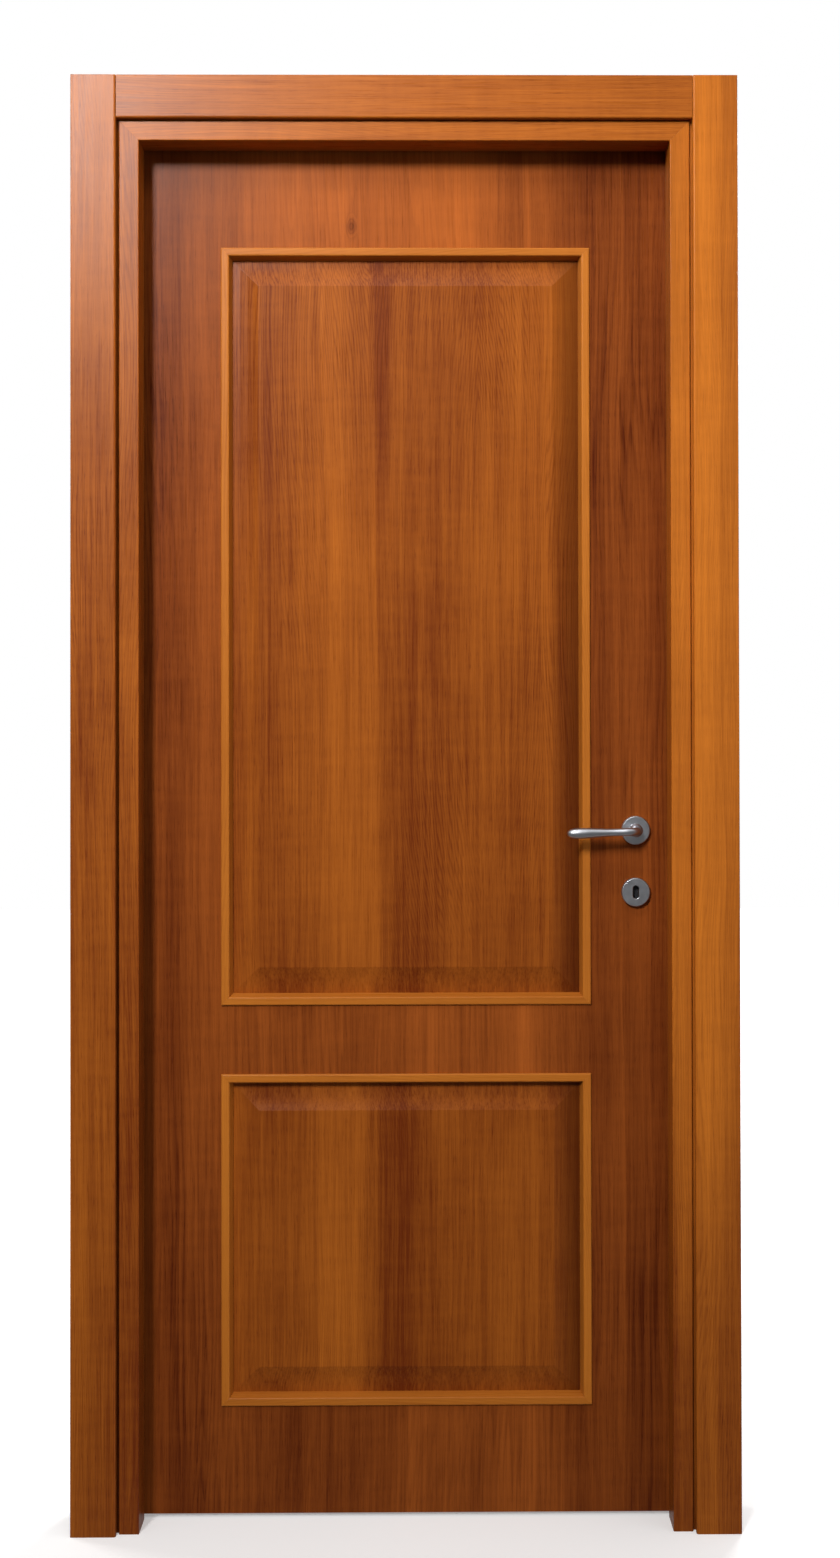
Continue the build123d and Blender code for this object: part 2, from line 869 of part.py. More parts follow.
# Pin hinges on the far side
def hinge_barrel(z, up):
    """Barrel above or below the parting height, bored for the pin, with a domed end."""
    outline = [
        (0, collar_play + collar_thickness if up else 0),
        (barrel_radius, collar_play + collar_thickness if up else 0),
        (barrel_radius, barrel_length - barrel_round),
        (barrel_radius - barrel_round, barrel_length),
        (0, barrel_length),
    ]
    bore = Pos(0, 0, -past) * Cylinder(
        pin_radius + (running_play if up else 0),
        pin_in_half + past,
        align=(Align.CENTER, Align.CENTER, Align.MIN),
    )
    half = turned(outline) - bore
    half = half if up else Rot(180, 0, 0) * half
    return Pos(hinge_x, hinge_y, z) * half


def leaf_half(z):
    """Upper half, screwed into the edge of the lip."""
    stud = round_bar(
        stud_radius,
        (hinge_x + (barrel_radius + pin_radius) / 2, hinge_y, z + stud_height),
        (1, 0, 0),
        stud_length,
    )
    return hinge_barrel(z, True) + stud


def frame_half(z):
    """Lower half, screwed into the far face of the hinge jamb."""
    stud = round_bar(
        stud_radius,
        (hinge_x, hinge_y - (barrel_radius + pin_radius) / 2, z - stud_height),
        (0, -1, 0),
        stud_length,
    )
    return hinge_barrel(z, False) + stud


def hinge_pin(z):
    """Pin with a collar that carries the upper half."""
    foot = -pin_in_half
    outline = [
        (0, foot),
        (pin_radius, foot),
        (pin_radius, 0),
        (collar_radius, 0),
        (collar_radius, collar_thickness),
        (pin_radius, collar_thickness),
        (pin_radius, pin_in_half - pin_end_gap),
        (0, pin_in_half - pin_end_gap),
    ]
    return Pos(hinge_x, hinge_y, z) * turned(outline)


leaf_halves = [leaf_half(z) for z in hinge_heights]
frame_halves = [frame_half(z) for z in hinge_heights]
hinge_pins = [hinge_pin(z) for z in hinge_heights]
hinge_stile = hinge_stile - leaf_halves
jamb_hinge = mirror(jamb_lock, about=Plane.YZ) - frame_halves
strip_hinge = strip_hinge - frame_halves

parts = {
    "jamb_hinge_side": jamb_hinge,
    "jamb_lock_side": jamb_lock,
    "jamb_head": jamb_head,
    "jamb_rear_strips": Compound([strip_hinge, strip_lock, strip_head]),
    "frame_seal": frame_seal,
    "strike_plate": strike_plate,
    "strike_screws": Compound(strike_screws),
    "front_architrave_left": mirror(front_side_board, about=Plane.YZ),
    "front_architrave_right": front_side_board,
    "front_architrave_head": front_head_board,
    "rear_architrave_left": mirror(rear_side_board, about=Plane.YZ),
    "rear_architrave_right": rear_side_board,
    "rear_architrave_head": rear_head_board,
    "hinge_pins": Compound(hinge_pins),
    "leaf_hinge_stile": hinge_stile,
    "leaf_lock_stile": lock_stile,
    "leaf_top_rail": rails["top"],
    "leaf_middle_rail": rails["middle"],
    "leaf_bottom_rail": rails["bottom"],
    "leaf_front_skin": front_skin,
    "leaf_back_skin": back_skin,
    "upper_panel": upper_panel,
    "lower_panel": lower_panel,
    "lock_case": lock_case(),
    "lock_face_plate": face_plate,
    "lock_screws": Compound(plate_screws + ring_screws),
    "latch_spring": latch_spring,
    "rose_rings": rose_rings,
    "front_rose": on_face(rose_shape, True, handle_x, handle_height),
    "rear_rose": on_face(rose_shape, False, handle_x, handle_height),
    "front_escutcheon": on_face(escutcheon_shape, True, handle_x, key_height),
    "rear_escutcheon": on_face(escutcheon_shape, False, handle_x, key_height),
    "front_lever": front_lever,
    "rear_lever": rear_lever,
    "spindle": spindle,
    "lock_follower": follower(),
    "latch_bolt": latch(),
    "dead_bolt": dead_bolt_body(),
}
for level, half in zip(("bottom", "middle", "top"), leaf_halves):
    parts[f"hinge_{level}_leaf_half"] = half
for level, half in zip(("bottom", "middle", "top"), frame_halves):
    parts[f"hinge_{level}_frame_half"] = half
openings = {
    "upper": (upper_opening_bottom, upper_opening_height),
    "lower": (lower_opening_bottom, lower_opening_height),
}
for level, opening in openings.items():
    for side, bar in moulding_frame(*opening).items():
        front_bar, rear_bar = both_faces(bar)
        parts[f"{level}_front_moulding_{side}"] = front_bar
        parts[f"{level}_rear_moulding_{side}"] = rear_bar

for name, shape in parts.items():
    export_step(Pos(0, -origin_y, 0) * shape, f"parts/{name}.step")
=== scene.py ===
"""Dresses a panelled timber door in its frame and sets it in a plain light studio."""

import json
import logging
import math
from dataclasses import dataclass
from enum import Enum
from typing import ClassVar

import bmesh
import bpy
from mathutils import Matrix, Vector


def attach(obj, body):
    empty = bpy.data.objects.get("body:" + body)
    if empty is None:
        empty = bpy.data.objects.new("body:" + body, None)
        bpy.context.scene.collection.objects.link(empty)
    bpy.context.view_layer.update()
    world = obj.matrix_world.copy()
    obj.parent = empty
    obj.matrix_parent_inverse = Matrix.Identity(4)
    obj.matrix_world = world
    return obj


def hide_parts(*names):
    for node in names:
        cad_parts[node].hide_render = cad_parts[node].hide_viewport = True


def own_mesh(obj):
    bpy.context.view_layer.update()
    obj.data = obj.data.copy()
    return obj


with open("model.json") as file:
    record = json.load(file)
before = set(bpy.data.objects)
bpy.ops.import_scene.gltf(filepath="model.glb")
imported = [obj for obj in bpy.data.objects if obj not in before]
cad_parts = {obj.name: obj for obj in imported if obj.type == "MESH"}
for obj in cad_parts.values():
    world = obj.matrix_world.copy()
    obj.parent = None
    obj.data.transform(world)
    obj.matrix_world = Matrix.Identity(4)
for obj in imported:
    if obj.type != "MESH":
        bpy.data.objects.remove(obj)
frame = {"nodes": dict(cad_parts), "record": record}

LOG = logging.getLogger("panelled_door")
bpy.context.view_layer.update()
MM = 0.001
Colour = tuple[float, float, float]
Triple = tuple[float, float, float]
Pair = tuple[float, float]
Socket = bpy.types.NodeSocket
Outputs = bpy.types.bpy_prop_collection
NUMBER, COLOUR, VECTOR = "NodeSocketFloat", "NodeSocketColor", "NodeSocketVector"


class Grain(Enum):
    """How the grain of a wooden piece runs, by the turn in radians that sets it upright."""

    UPRIGHT = (0.0, 0.0, 0.0)
    ACROSS = (0.0, math.pi / 2, 0.0)


class Wall(Enum):
    """The face of the wall that a piece belongs to."""

    FRONT = "front"
    REAR = "rear"


class NodeSketch:
    """Adds shader nodes to one tree and links them in order."""

    STEP = 180

    def __init__(self, tree: bpy.types.NodeTree) -> None:
        """Starts on a tree.

        Args:
            tree: The material's or the group's node tree.
        """
        self.tree = tree
        self.count = 0

    def add(self, kind: str, inputs: dict | None = None, **settings: object) -> bpy.types.Node:
        """Adds one node.

        Args:
            kind: The node's type name.
            inputs: Values or sockets by input name or number.
            settings: Properties of the node itself.

        Returns:
            The new node.
        """
        node = self.tree.nodes.new(kind)
        node.location = (self.count * self.STEP, 0)
        self.count += 1
        for key, value in settings.items():
            setattr(node, key, value)
        for key, value in (inputs or {}).items():
            self.feed(node.inputs[key], value)
        return node

    def feed(self, socket: Socket, value: object) -> None:
        """Links a socket to an input, or sets the input's own value.

        Args:
            socket: The input.
            value: A socket or a plain value.
        """
        if isinstance(value, Socket):
            self.tree.links.new(value, socket)
        else:
            socket.default_value = value

    def math(self, operation: str, *values: object, clamp: bool = False) -> Socket:
        """Adds a math node and returns its result."""
        inputs = dict(enumerate(values))
        return self.add("ShaderNodeMath", inputs, operation=operation, use_clamp=clamp).outputs[0]

    def vector(self, operation: str, *values: object) -> Socket:
        """Adds a vector math node and returns its vector, or the number that a length is."""
        node = self.add("ShaderNodeVectorMath", dict(enumerate(values)), operation=operation)
        return node.outputs["Value" if operation == "LENGTH" else "Vector"]

    def axis(self, place: object, name: str) -> Socket:
        """Gives one axis of a vector."""
        return self.add("ShaderNodeSeparateXYZ", {0: place}).outputs[name]

    def noise(self, place: object, stretch: Triple, detail: float = 2.0, rough: float = 0.5) -> Socket:
        """Adds noise whose features are stretched along the axes.

        Args:
            place: The coordinate socket.
            stretch: Features per metre along each axis.
            detail: Octaves of finer noise.
            rough: Strength of each finer octave.

        Returns:
            The noise value, about 0.5 on average.
        """
        stretched = self.vector("MULTIPLY", place, stretch)
        inputs = {"Vector": stretched, "Scale": 1.0, "Detail": detail, "Roughness": rough}
        return self.add("ShaderNodeTexNoise", inputs).outputs[0]

    def span(
        self, value: object, low: float, high: float, to: Pair = (0.0, 1.0), smooth: bool = False
    ) -> Socket:
        """Maps a range of a value to another and clamps it.

        Args:
            value: The value or socket to map.
            low: Where the range begins.
            high: Where it ends.
            to: The results at those two ends.
            smooth: Whether the result eases in and out.

        Returns:
            The mapped value.
        """
        kind = "SMOOTHSTEP" if smooth else "LINEAR"
        inputs = {"Value": value, "From Min": low, "From Max": high, "To Min": to[0], "To Max": to[1]}
        return self.add("ShaderNodeMapRange", inputs, interpolation_type=kind).outputs[0]

    def mix_value(self, factor: object, first: object, second: object) -> Socket:
        """Mixes two numbers."""
        inputs = {"Factor": factor, "A": first, "B": second}
        return self.add("ShaderNodeMix", inputs, data_type="FLOAT").outputs["Result"]

    def mix(self, factor: object, first: object, second: object) -> Socket:
        """Mixes two colours."""
        inputs = {"Factor": factor, "A": first, "B": second}
        return self.add("ShaderNodeMix", inputs, data_type="RGBA").outputs["Result"]

    def group(self, tree: bpy.types.NodeTree, inputs: dict[str, object]) -> Outputs:
        """Places a node group and returns its outputs."""
        return self.add("ShaderNodeGroup", inputs, node_tree=tree).outputs

    def bump(self, height: Socket, strength: float, depth: float) -> Socket:
        """Gives the normal of a surface with a fine relief, whose depth is in metres."""
        inputs = {"Height": height, "Strength": strength, "Distance": depth}
        return self.add("ShaderNodeBump", inputs).outputs[0]


def rgba(colour: Colour) -> tuple[float, float, float, float]:
    """Adds full alpha to a colour."""
    return (*colour, 1.0)


def scaled(colour: Colour, share: float) -> Colour:
    """Multiplies a colour."""
    return tuple(share * part for part in colour)


def new_material(name: str) -> tuple[bpy.types.Material, NodeSketch, bpy.types.Node, Socket]:
    """Starts a material.

    Args:
        name: The material's name.

    Returns:
        The material, a sketch on it, its shader and its coordinates.
    """
    material = bpy.data.materials.new(name)
    material.use_nodes = True
    sketch = NodeSketch(material.node_tree)
    place = sketch.add("ShaderNodeTexCoord").outputs["Object"]
    return material, sketch, material.node_tree.nodes["Principled BSDF"], place


def new_group(
    name: str, inputs: dict[str, str], outputs: dict[str, str]
) -> tuple[bpy.types.NodeTree, NodeSketch, dict[str, Socket], bpy.types.Node]:
    """Starts a shader node group.

    Args:
        name: The group's name.
        inputs: Socket type by input name.
        outputs: Socket type by output name.

    Returns:
        The tree, a sketch on it, its input sockets by name and its output node.
    """
    tree = bpy.data.node_groups.new(name, "ShaderNodeTree")
    for label, kind in inputs.items():
        tree.interface.new_socket(name=label, in_out="INPUT", socket_type=kind)
    for label, kind in outputs.items():
        tree.interface.new_socket(name=label, in_out="OUTPUT", socket_type=kind)
    sketch = NodeSketch(tree)
    entry = sketch.add("NodeGroupInput")
    exit_node = sketch.add("NodeGroupOutput")
    return tree, sketch, {label: entry.outputs[label] for label in inputs}, exit_node


@dataclass(frozen=True)
class WoodFigure:
    """The pattern of the veneer, as one node group for every wooden piece.

    Each noise is given by its features per metre along x, y and z, with the grain along z.
    """

    name: str = "veneer_figure"
    drift: float = 0.030
    drift_noise: Triple = (2.0, 2.0, 0.8)
    wiggle: float = 0.006
    wiggle_noise: Triple = (11.0, 11.0, 3.2)
    strips_per_metre: float = 12.0
    strip_chance: float = 0.9
    strip_apart: float = 7.0
    strip_weight: float = 0.22
    band: Triple = (9.0, 9.0, 0.5)
    band_swing: float = 2.4
    streak: Triple = (45.0, 45.0, 1.2)
    streak_weight: float = 0.45
    thread: Triple = (190.0, 190.0, 2.8)
    thread_weight: float = 0.60
    cloud: Triple = (6.0, 6.0, 4.5)
    cloud_weight: float = 0.50
    ripple: Triple = (14.0, 14.0, 60.0)
    ripple_weight: float = 0.20
    fibre: Triple = (620.0, 620.0, 12.0)
    fibre_weight: float = 0.50
    fibre_rough: float = 0.16
    fibre_height: float = 0.6
    pore: Triple = (900.0, 900.0, 55.0)
    pore_span: Pair = (0.60, 0.72)
    pore_weight: float = -0.18
    pore_height: float = -0.8
    contour: Triple = (2.2, 2.2, 1.1)
    contour_rough: float = 0.4
    line_swing: float = 0.18
    line_noise: Triple = (70.0, 70.0, 1.6)
    line_uneven: float = 3.0
    line_rise: Pair = (0.35, 0.80)
    line_fall: Pair = (0.86, 1.0)
    line_mean: float = 0.35
    patch: Triple = (8.0, 8.0, 1.6)
    patch_span: Pair = (0.38, 0.66)
    knot_shape: Triple = (1.0, 0.2, 0.55)
    knot_bend: float = 2.5
    knot_weight: float = -0.4

    def build(self) -> bpy.types.NodeTree:
        """Makes the group.

        Returns:
            The node tree, with the colour, roughness and height of the wood.
        """
        tree, sketch, given, leave = new_group(
            self.name,
            {
                "Place": VECTOR,
                "Light": COLOUR,
                "Dark": COLOUR,
                "Bands": NUMBER,
                "Lines": NUMBER,
                "Line Rate": NUMBER,
                "Tone": NUMBER,
                "Contrast": NUMBER,
                "Knot": VECTOR,
                "Knot Size": NUMBER,
            },
            {"Color": COLOUR, "Roughness": NUMBER, "Height": NUMBER},
        )
        place = given["Place"]
        bent = self.bend(sketch, place)
        knot = self.knot_mask(sketch, place, given)
        strip_tone, strip_offset = self.strips(sketch, bent)
        bands = self.level(sketch, bent, self.band, 1.0, self.band_swing)
        pores = sketch.span(sketch.noise(bent, self.pore, 1.0), *self.pore_span)
        fibres = self.level(sketch, bent, self.fibre)
        parts = (
            (strip_tone, self.strip_weight),
            (self.level(sketch, bent, self.streak), self.streak_weight),
            (self.level(sketch, bent, self.thread), self.thread_weight),
            (self.growth_lines(sketch, bent, strip_offset, given, knot), given["Lines"]),
            (self.level(sketch, place, self.cloud), self.cloud_weight),
            (self.level(sketch, bent, self.ripple), self.ripple_weight),
            (fibres, self.fibre_weight),
            (pores, self.pore_weight),
        )
        total = sketch.math("MULTIPLY", bands, given["Bands"])
        for part, weight in parts:
            total = sketch.math("MULTIPLY_ADD", part, weight, total)
        middle = sketch.math("ADD", given["Tone"], 0.5)
        total = sketch.math("MULTIPLY_ADD", total, given["Contrast"], middle)
        total = sketch.math("MULTIPLY_ADD", knot, self.knot_weight, total, clamp=True)
        sketch.feed(leave.inputs["Color"], sketch.mix(total, given["Dark"], given["Light"]))
        sketch.feed(leave.inputs["Roughness"], sketch.math("MULTIPLY", fibres, self.fibre_rough))
        raised = sketch.math("MULTIPLY", fibres, self.fibre_height)
        sketch.feed(leave.inputs["Height"], sketch.math("MULTIPLY_ADD", pores, self.pore_height, raised))
        return tree

    def level(
        self, sketch: NodeSketch, place: Socket, stretch: Triple, detail: float = 2.0, swing: float = 1.0
    ) -> Socket:
        """Gives stretched noise about 0, from minus to plus half of the swing."""
        centred = sketch.math("SUBTRACT", sketch.noise(place, stretch, detail), 0.5)
        return sketch.math("MULTIPLY", centred, swing)

    def bend(self, sketch: NodeSketch, place: Socket) -> Socket:
        """Lets the grain wander sideways on its way up.

        Args:
            sketch: The sketch to add to.
            place: The place in the log.

        Returns:
            The shifted place.
        """
        sway = self.level(sketch, place, self.drift_noise, 1.0, self.drift)
        wiggle = self.level(sketch, place, self.wiggle_noise, 1.0, self.wiggle)
        shift = sketch.math("ADD", sway, wiggle)
        sideways = sketch.add("ShaderNodeCombineXYZ", {"X": shift, "Y": shift}).outputs[0]
        return sketch.vector("ADD", place, sideways)

    def knot_mask(self, sketch: NodeSketch, place: Socket, given: dict[str, Socket]) -> Socket:
        """Fades from 1 in the middle of a small knot to 0 round it.

        Args:
            sketch: The sketch to add to.
            place: The place in the log.
            given: The group's input sockets.

        Returns:
            The mask.
        """
        away = sketch.vector("SUBTRACT", place, given["Knot"])
        away = sketch.vector("MULTIPLY", away, self.knot_shape)
        ratio = sketch.math("DIVIDE", sketch.vector("LENGTH", away), given["Knot Size"])
        power = sketch.math("POWER", ratio, 2.0)
        return sketch.math("EXPONENT", sketch.math("MULTIPLY", power, -1.0))

    def strips(self, sketch: NodeSketch, bent: Socket) -> tuple[Socket, Socket]:
        """Splits the sheet into upright strips, each with its own tone and its own lines.

        Args:
            sketch: The sketch to add to.
            bent: The place, shifted by the wandering grain.

        Returns:
            The strip's tone, and how far up the log it was cut.
        """
        flat = self.across(sketch, bent)
        inputs = {"W": flat, "Scale": self.strips_per_metre, "Randomness": self.strip_chance}
        cells = sketch.add("ShaderNodeTexVoronoi", inputs, voronoi_dimensions="1D")
        chance = sketch.add("ShaderNodeSeparateColor", {0: cells.outputs["Color"]})
        tone = sketch.math("SUBTRACT", chance.outputs[0], 0.5)
        return tone, sketch.math("MULTIPLY", chance.outputs[1], self.strip_apart)

    def across(self, sketch: NodeSketch, bent: Socket) -> Socket:
        """Gives the distance across the grain, the same way round on a face and an edge."""
        return sketch.math("ADD", sketch.axis(bent, "X"), sketch.axis(bent, "Y"))

    def growth_lines(
        self, sketch: NodeSketch, bent: Socket, offset: Socket, given: dict[str, Socket], knot: Socket
    ) -> Socket:
        """Draws lines of equal age, straight in one strip and slanting or arched in the next.

        Args:
            sketch: The sketch to add to.
            bent: The place, shifted by the wandering grain.
            offset: How far up the log this strip was cut.
            given: The group's input sockets.
            knot: The mask of the knot, which the lines run round.

        Returns:
            The lines' part of the tone, dark where a year ends.
        """
        apart = sketch.add("ShaderNodeCombineXYZ", {"Z": offset}).outputs[0]
        level = sketch.noise(sketch.vector("ADD", bent, apart), self.contour, 1.0, self.contour_rough)
        swung = sketch.math("MULTIPLY_ADD", level, self.line_swing, self.across(sketch, bent))
        age = sketch.math("MULTIPLY", swung, given["Line Rate"])
        age = sketch.math("MULTIPLY_ADD", knot, self.knot_bend, age)
        uneven = self.level(sketch, bent, self.line_noise, 1.0, self.line_uneven)
        phase = sketch.math("FRACT", sketch.math("ADD", age, uneven))
        rise = sketch.span(phase, *self.line_rise, smooth=True)
        fall = sketch.span(phase, *self.line_fall, smooth=True)
        wave = sketch.math("SUBTRACT", self.line_mean, sketch.math("SUBTRACT", rise, fall))
        where = sketch.span(sketch.noise(bent, self.patch, 1.0), *self.patch_span)
        return sketch.math("MULTIPLY", wave, where)


@dataclass(frozen=True)
class PieceToneAndLight:
    """The piece's own tone with painted light along it, as one node group for the wooden pieces.

    Attributes:
        name: The group's name.
        low_rise, high_rise: Heights that the tone changes between, low and high up; this change with height
            is painted light.
        pale_core: Share of a pale band's half width that has its full gain; the band is partly own tone and
            partly painted highlight.
        pale_share: Strength of the pale band at the foot and at hip height, and what the head adds, so the
            painted highlight is strongest high up.
    """

    name: str = "piece_tone_and_painted_light"
    low_rise: Pair = (0.15, 0.85)
    high_rise: Pair = (1.3, 2.1)
    pale_core: float = 0.35
    pale_share: Triple = (0.6, 1.15, 0.35)

    VALUES: ClassVar[tuple[str, ...]] = ("Foot", "Hip", "Head", "Pale Middle", "Pale Half", "Pale Gain")

    def build(self) -> bpy.types.NodeTree:
        """Makes the group.

        Returns:
            The node tree, with how much lighter the wood is, or darker where it is below 0, painted light
            included.
        """
        inputs = {"Place": VECTOR, **dict.fromkeys(self.VALUES, NUMBER)}
        tree, sketch, given, leave = new_group(self.name, inputs, {"Tone": NUMBER})
        height = sketch.axis(given["Place"], "Z")
        # Painted light: the tone changes with height, mostly darker towards the foot.
        lift = self.by_height(sketch, height, given["Foot"], given["Hip"], given["Head"])
        # Pale band down the middle, partly own tone and partly painted highlight, stronger higher up.
        off_middle = sketch.math("SUBTRACT", sketch.axis(given["Place"], "X"), given["Pale Middle"])
        away = sketch.math("ABSOLUTE", off_middle)
        core = sketch.math("MULTIPLY", given["Pale Half"], self.pale_core)
        band = sketch.span(away, core, given["Pale Half"], (given["Pale Gain"], 0.0), smooth=True)
        share = self.by_height(sketch, height, *self.pale_share)
        sketch.feed(leave.inputs["Tone"], sketch.math("MULTIPLY_ADD", band, share, lift))
        return tree

    def by_height(
        self, sketch: NodeSketch, height: Socket, foot: object, hip: object, head: object
    ) -> Socket:
        """Goes from one value at the foot to another at hip height, and adds a third at the head.

        Args:
            sketch: The sketch to add to.
            height: The height in metres.
            foot: The value at the foot.
            hip: The value at hip height.
            head: What the head adds.

        Returns:
            The value at that height.
        """
        low = sketch.span(height, *self.low_rise, (foot, hip), smooth=True)
        high = sketch.span(height, *self.high_rise, (0.0, head), smooth=True)
        return sketch.math("ADD", low, high)


@dataclass(frozen=True)
class BevelPaintedShade:
    """Painted shade on the bevel round a raised field, as one node group for the panels.

    Attributes:
        name: The group's name.
        run: Width of the bevel.
        shade: How much darker its foot is painted, as the moulding's shadow.
        side_start: Where the painted shade on the right begins, as a share of the width.
        side_dark: Share of that painted shade at the foot.
    """

    name: str = "bevel_painted_shade"
    run: float = 41 * MM
    shade: float = 0.04
    side_start: float = -0.3
    side_dark: float = 0.66

    def build(self) -> bpy.types.NodeTree:
        """Makes the group.

        Returns:
            The node tree, with the painted shade at the bevel's foot and the share of painted shade on its
            right side.
        """
        inputs = {"Place": VECTOR, "Middle": VECTOR, "Half": VECTOR}
        tree, sketch, given, leave = new_group(self.name, inputs, {"Tone": NUMBER, "Side Shade": NUMBER})
        away = sketch.vector("ABSOLUTE", sketch.vector("SUBTRACT", given["Place"], given["Middle"]))
        past = sketch.vector("SUBTRACT", away, given["Half"])
        outside = sketch.math("MAXIMUM", sketch.axis(past, "X"), sketch.axis(past, "Z"))
        # Painted shade: the bevel darkens towards its foot by the moulding, as the moulding's shadow.
        sketch.feed(leave.inputs["Tone"], sketch.span(outside, 0.0, self.run, (0.0, -self.shade)))
        # Painted shade: the bevel's right side darkens, as a side turned from the light.
        corner = sketch.vector("ADD", given["Middle"], given["Half"])
        right = sketch.axis(sketch.vector("SUBTRACT", given["Place"], corner), "X")
        start = self.side_start * self.run
        side_shade = sketch.span(right, start, self.run, (0.0, self.side_dark), smooth=True)
        sketch.feed(leave.inputs["Side Shade"], side_shade)
        return tree


@dataclass(frozen=True)
class BrushedMetal:
    """Fine brush lines and a soft cloudiness, as one node group for every metal piece."""

    name: str = "brushed_metal"
    brush: Triple = (900.0, 900.0, 5200.0)
    brush_rough: float = 0.6
    cloud: Triple = (90.0, 90.0, 90.0)
    cloud_detail: float = 3.0
    cloud_span: Pair = (0.35, 0.65)

    def build(self) -> bpy.types.NodeTree:
        """Makes the group.

        Returns:
            The node tree, with the colour, roughness and height of the metal.
        """
        tree, sketch, given, leave = new_group(
            self.name,
            {"Place": VECTOR, "Clean": COLOUR, "Worn": COLOUR, "Roughness": NUMBER, "Spread": NUMBER},
            {"Color": COLOUR, "Roughness": NUMBER, "Height": NUMBER},
        )
        lines = sketch.noise(given["Place"], self.brush, rough=self.brush_rough)
        clouds = sketch.noise(given["Place"], self.cloud, self.cloud_detail)
        cloudy = sketch.math("MULTIPLY", sketch.math("SUBTRACT", clouds, 0.5), 2.0)
        rough = sketch.math("MULTIPLY_ADD", cloudy, given["Spread"], given["Roughness"])
        brushed = sketch.math("SUBTRACT", lines, 0.5)
        rough = sketch.math("MULTIPLY_ADD", brushed, given["Spread"], rough)
        shade = sketch.mix(sketch.span(clouds, *self.cloud_span), given["Worn"], given["Clean"])
        sketch.feed(leave.inputs["Color"], shade)
        sketch.feed(leave.inputs["Roughness"], rough)
        sketch.feed(leave.inputs["Height"], lines)
        return tree


@dataclass(frozen=True)
class Patterns:
    """The node groups that the materials share."""

    figure: bpy.types.NodeTree
    tone: bpy.types.NodeTree
    bevel: bpy.types.NodeTree
    brushed: bpy.types.NodeTree


@dataclass(frozen=True)
class WoodCut:
    """How one piece lies in its log, and how its tone and painted light differ from its finish.

    Attributes:
        grain: The way that the grain runs.
        offset: The place in the log that the piece was cut from.
        tone: How much lighter the piece is at the foot and at hip height, and how much more at the head,
            partly painted light, or None where it is all alike.
        pale: The middle, half width and gain of a pale band along the piece, partly its own tone and partly
            a painted highlight.
        bevel: The middle and half sizes of a raised field with painted shade on the bevel round it.
    """

    grain: Grain
    offset: Triple
    tone: Triple | None = None
    pale: Triple = (0.0, 1.0, 0.0)
    bevel: tuple[Triple, Triple] | None = None


def log_place(start: Triple, *steps: tuple[int, Triple]) -> Triple:
    """Adds steps to a place in the log, each taken a number of times."""
    return tuple(start[axis] + sum(times * step[axis] for times, step in steps) for axis in range(3))


@dataclass(frozen=True)
class WoodFinish:
    """One lacquered veneer.

    Attributes:
        light, dark: The colours that the figure runs between.
        bands, lines, contrast: Strengths of the broad bands, the growth lines and the whole.
        line_rate: Growth lines per metre.
        roughness, gloss: The lacquer's roughness and the strength of its shine.
        relief, relief_depth: Strength and depth of the open pores and fibres.
        side_shade_colour: The colour of the painted shade on the right of a panel's bevel.
        knot, knot_size: Place of the one knot, far off where there is none, and its size.
    """

    light: Colour
    dark: Colour
    bands: float = 0.55
    lines: float = 0.30
    contrast: float = 1.0
    line_rate: float = 230.0
    roughness: float = 0.29
    gloss: float = 0.20
    relief: float = 0.25
    relief_depth: float = 0.05 * MM
    side_shade_colour: Colour = (0.050, 0.008, 0.001)
    knot: Triple = (9.0, 9.0, 9.0)
    knot_size: float = 0.006

    def material(self, name: str, cut: WoodCut, patterns: Patterns) -> bpy.types.Material:
        """Makes the material of one piece.

        Args:
            name: The material's name.
            cut: How the piece lies in its log, and its own tone.
            patterns: The shared node groups.

        Returns:
            The material.
        """
        material, sketch, shader, place = new_material(name)
        tone: object = 0.0
        if cut.tone:
            along = dict(zip(PieceToneAndLight.VALUES, (*cut.tone, *cut.pale)))
            tone = sketch.group(patterns.tone, {"Place": place, **along})["Tone"]
        # Painted shade at the foot of a panel's bevel, as the moulding's shadow.
        if cut.bevel:
            middle, half = cut.bevel
            bevel = sketch.group(patterns.bevel, {"Place": place, "Middle": middle, "Half": half})
            tone = sketch.math("ADD", bevel["Tone"], tone)
        turned = {"Vector": place, "Rotation": cut.grain.value, "Location": cut.offset}
        values = {
            "Place": sketch.add("ShaderNodeMapping", turned).outputs[0],
            "Light": rgba(self.light),
            "Dark": rgba(self.dark),
            "Bands": self.bands,
            "Lines": self.lines,
            "Line Rate": self.line_rate,
            "Tone": tone,
            "Contrast": self.contrast,
            "Knot": log_place(self.knot, (1, cut.offset)),
            "Knot Size": self.knot_size,
        }
        wood = sketch.group(patterns.figure, values)
        colour = wood["Color"]
        # Painted shade on the right of a panel's bevel, as a side turned from the light.
        if cut.bevel:
            colour = sketch.mix(bevel["Side Shade"], colour, rgba(self.side_shade_colour))
        sketch.feed(shader.inputs["Base Color"], colour)
        sketch.feed(shader.inputs["Roughness"], sketch.math("ADD", wood["Roughness"], self.roughness))
        sketch.feed(shader.inputs["Normal"], sketch.bump(wood["Height"], self.relief, self.relief_depth))
        sketch.feed(shader.inputs["Specular IOR Level"], self.gloss)
        return material


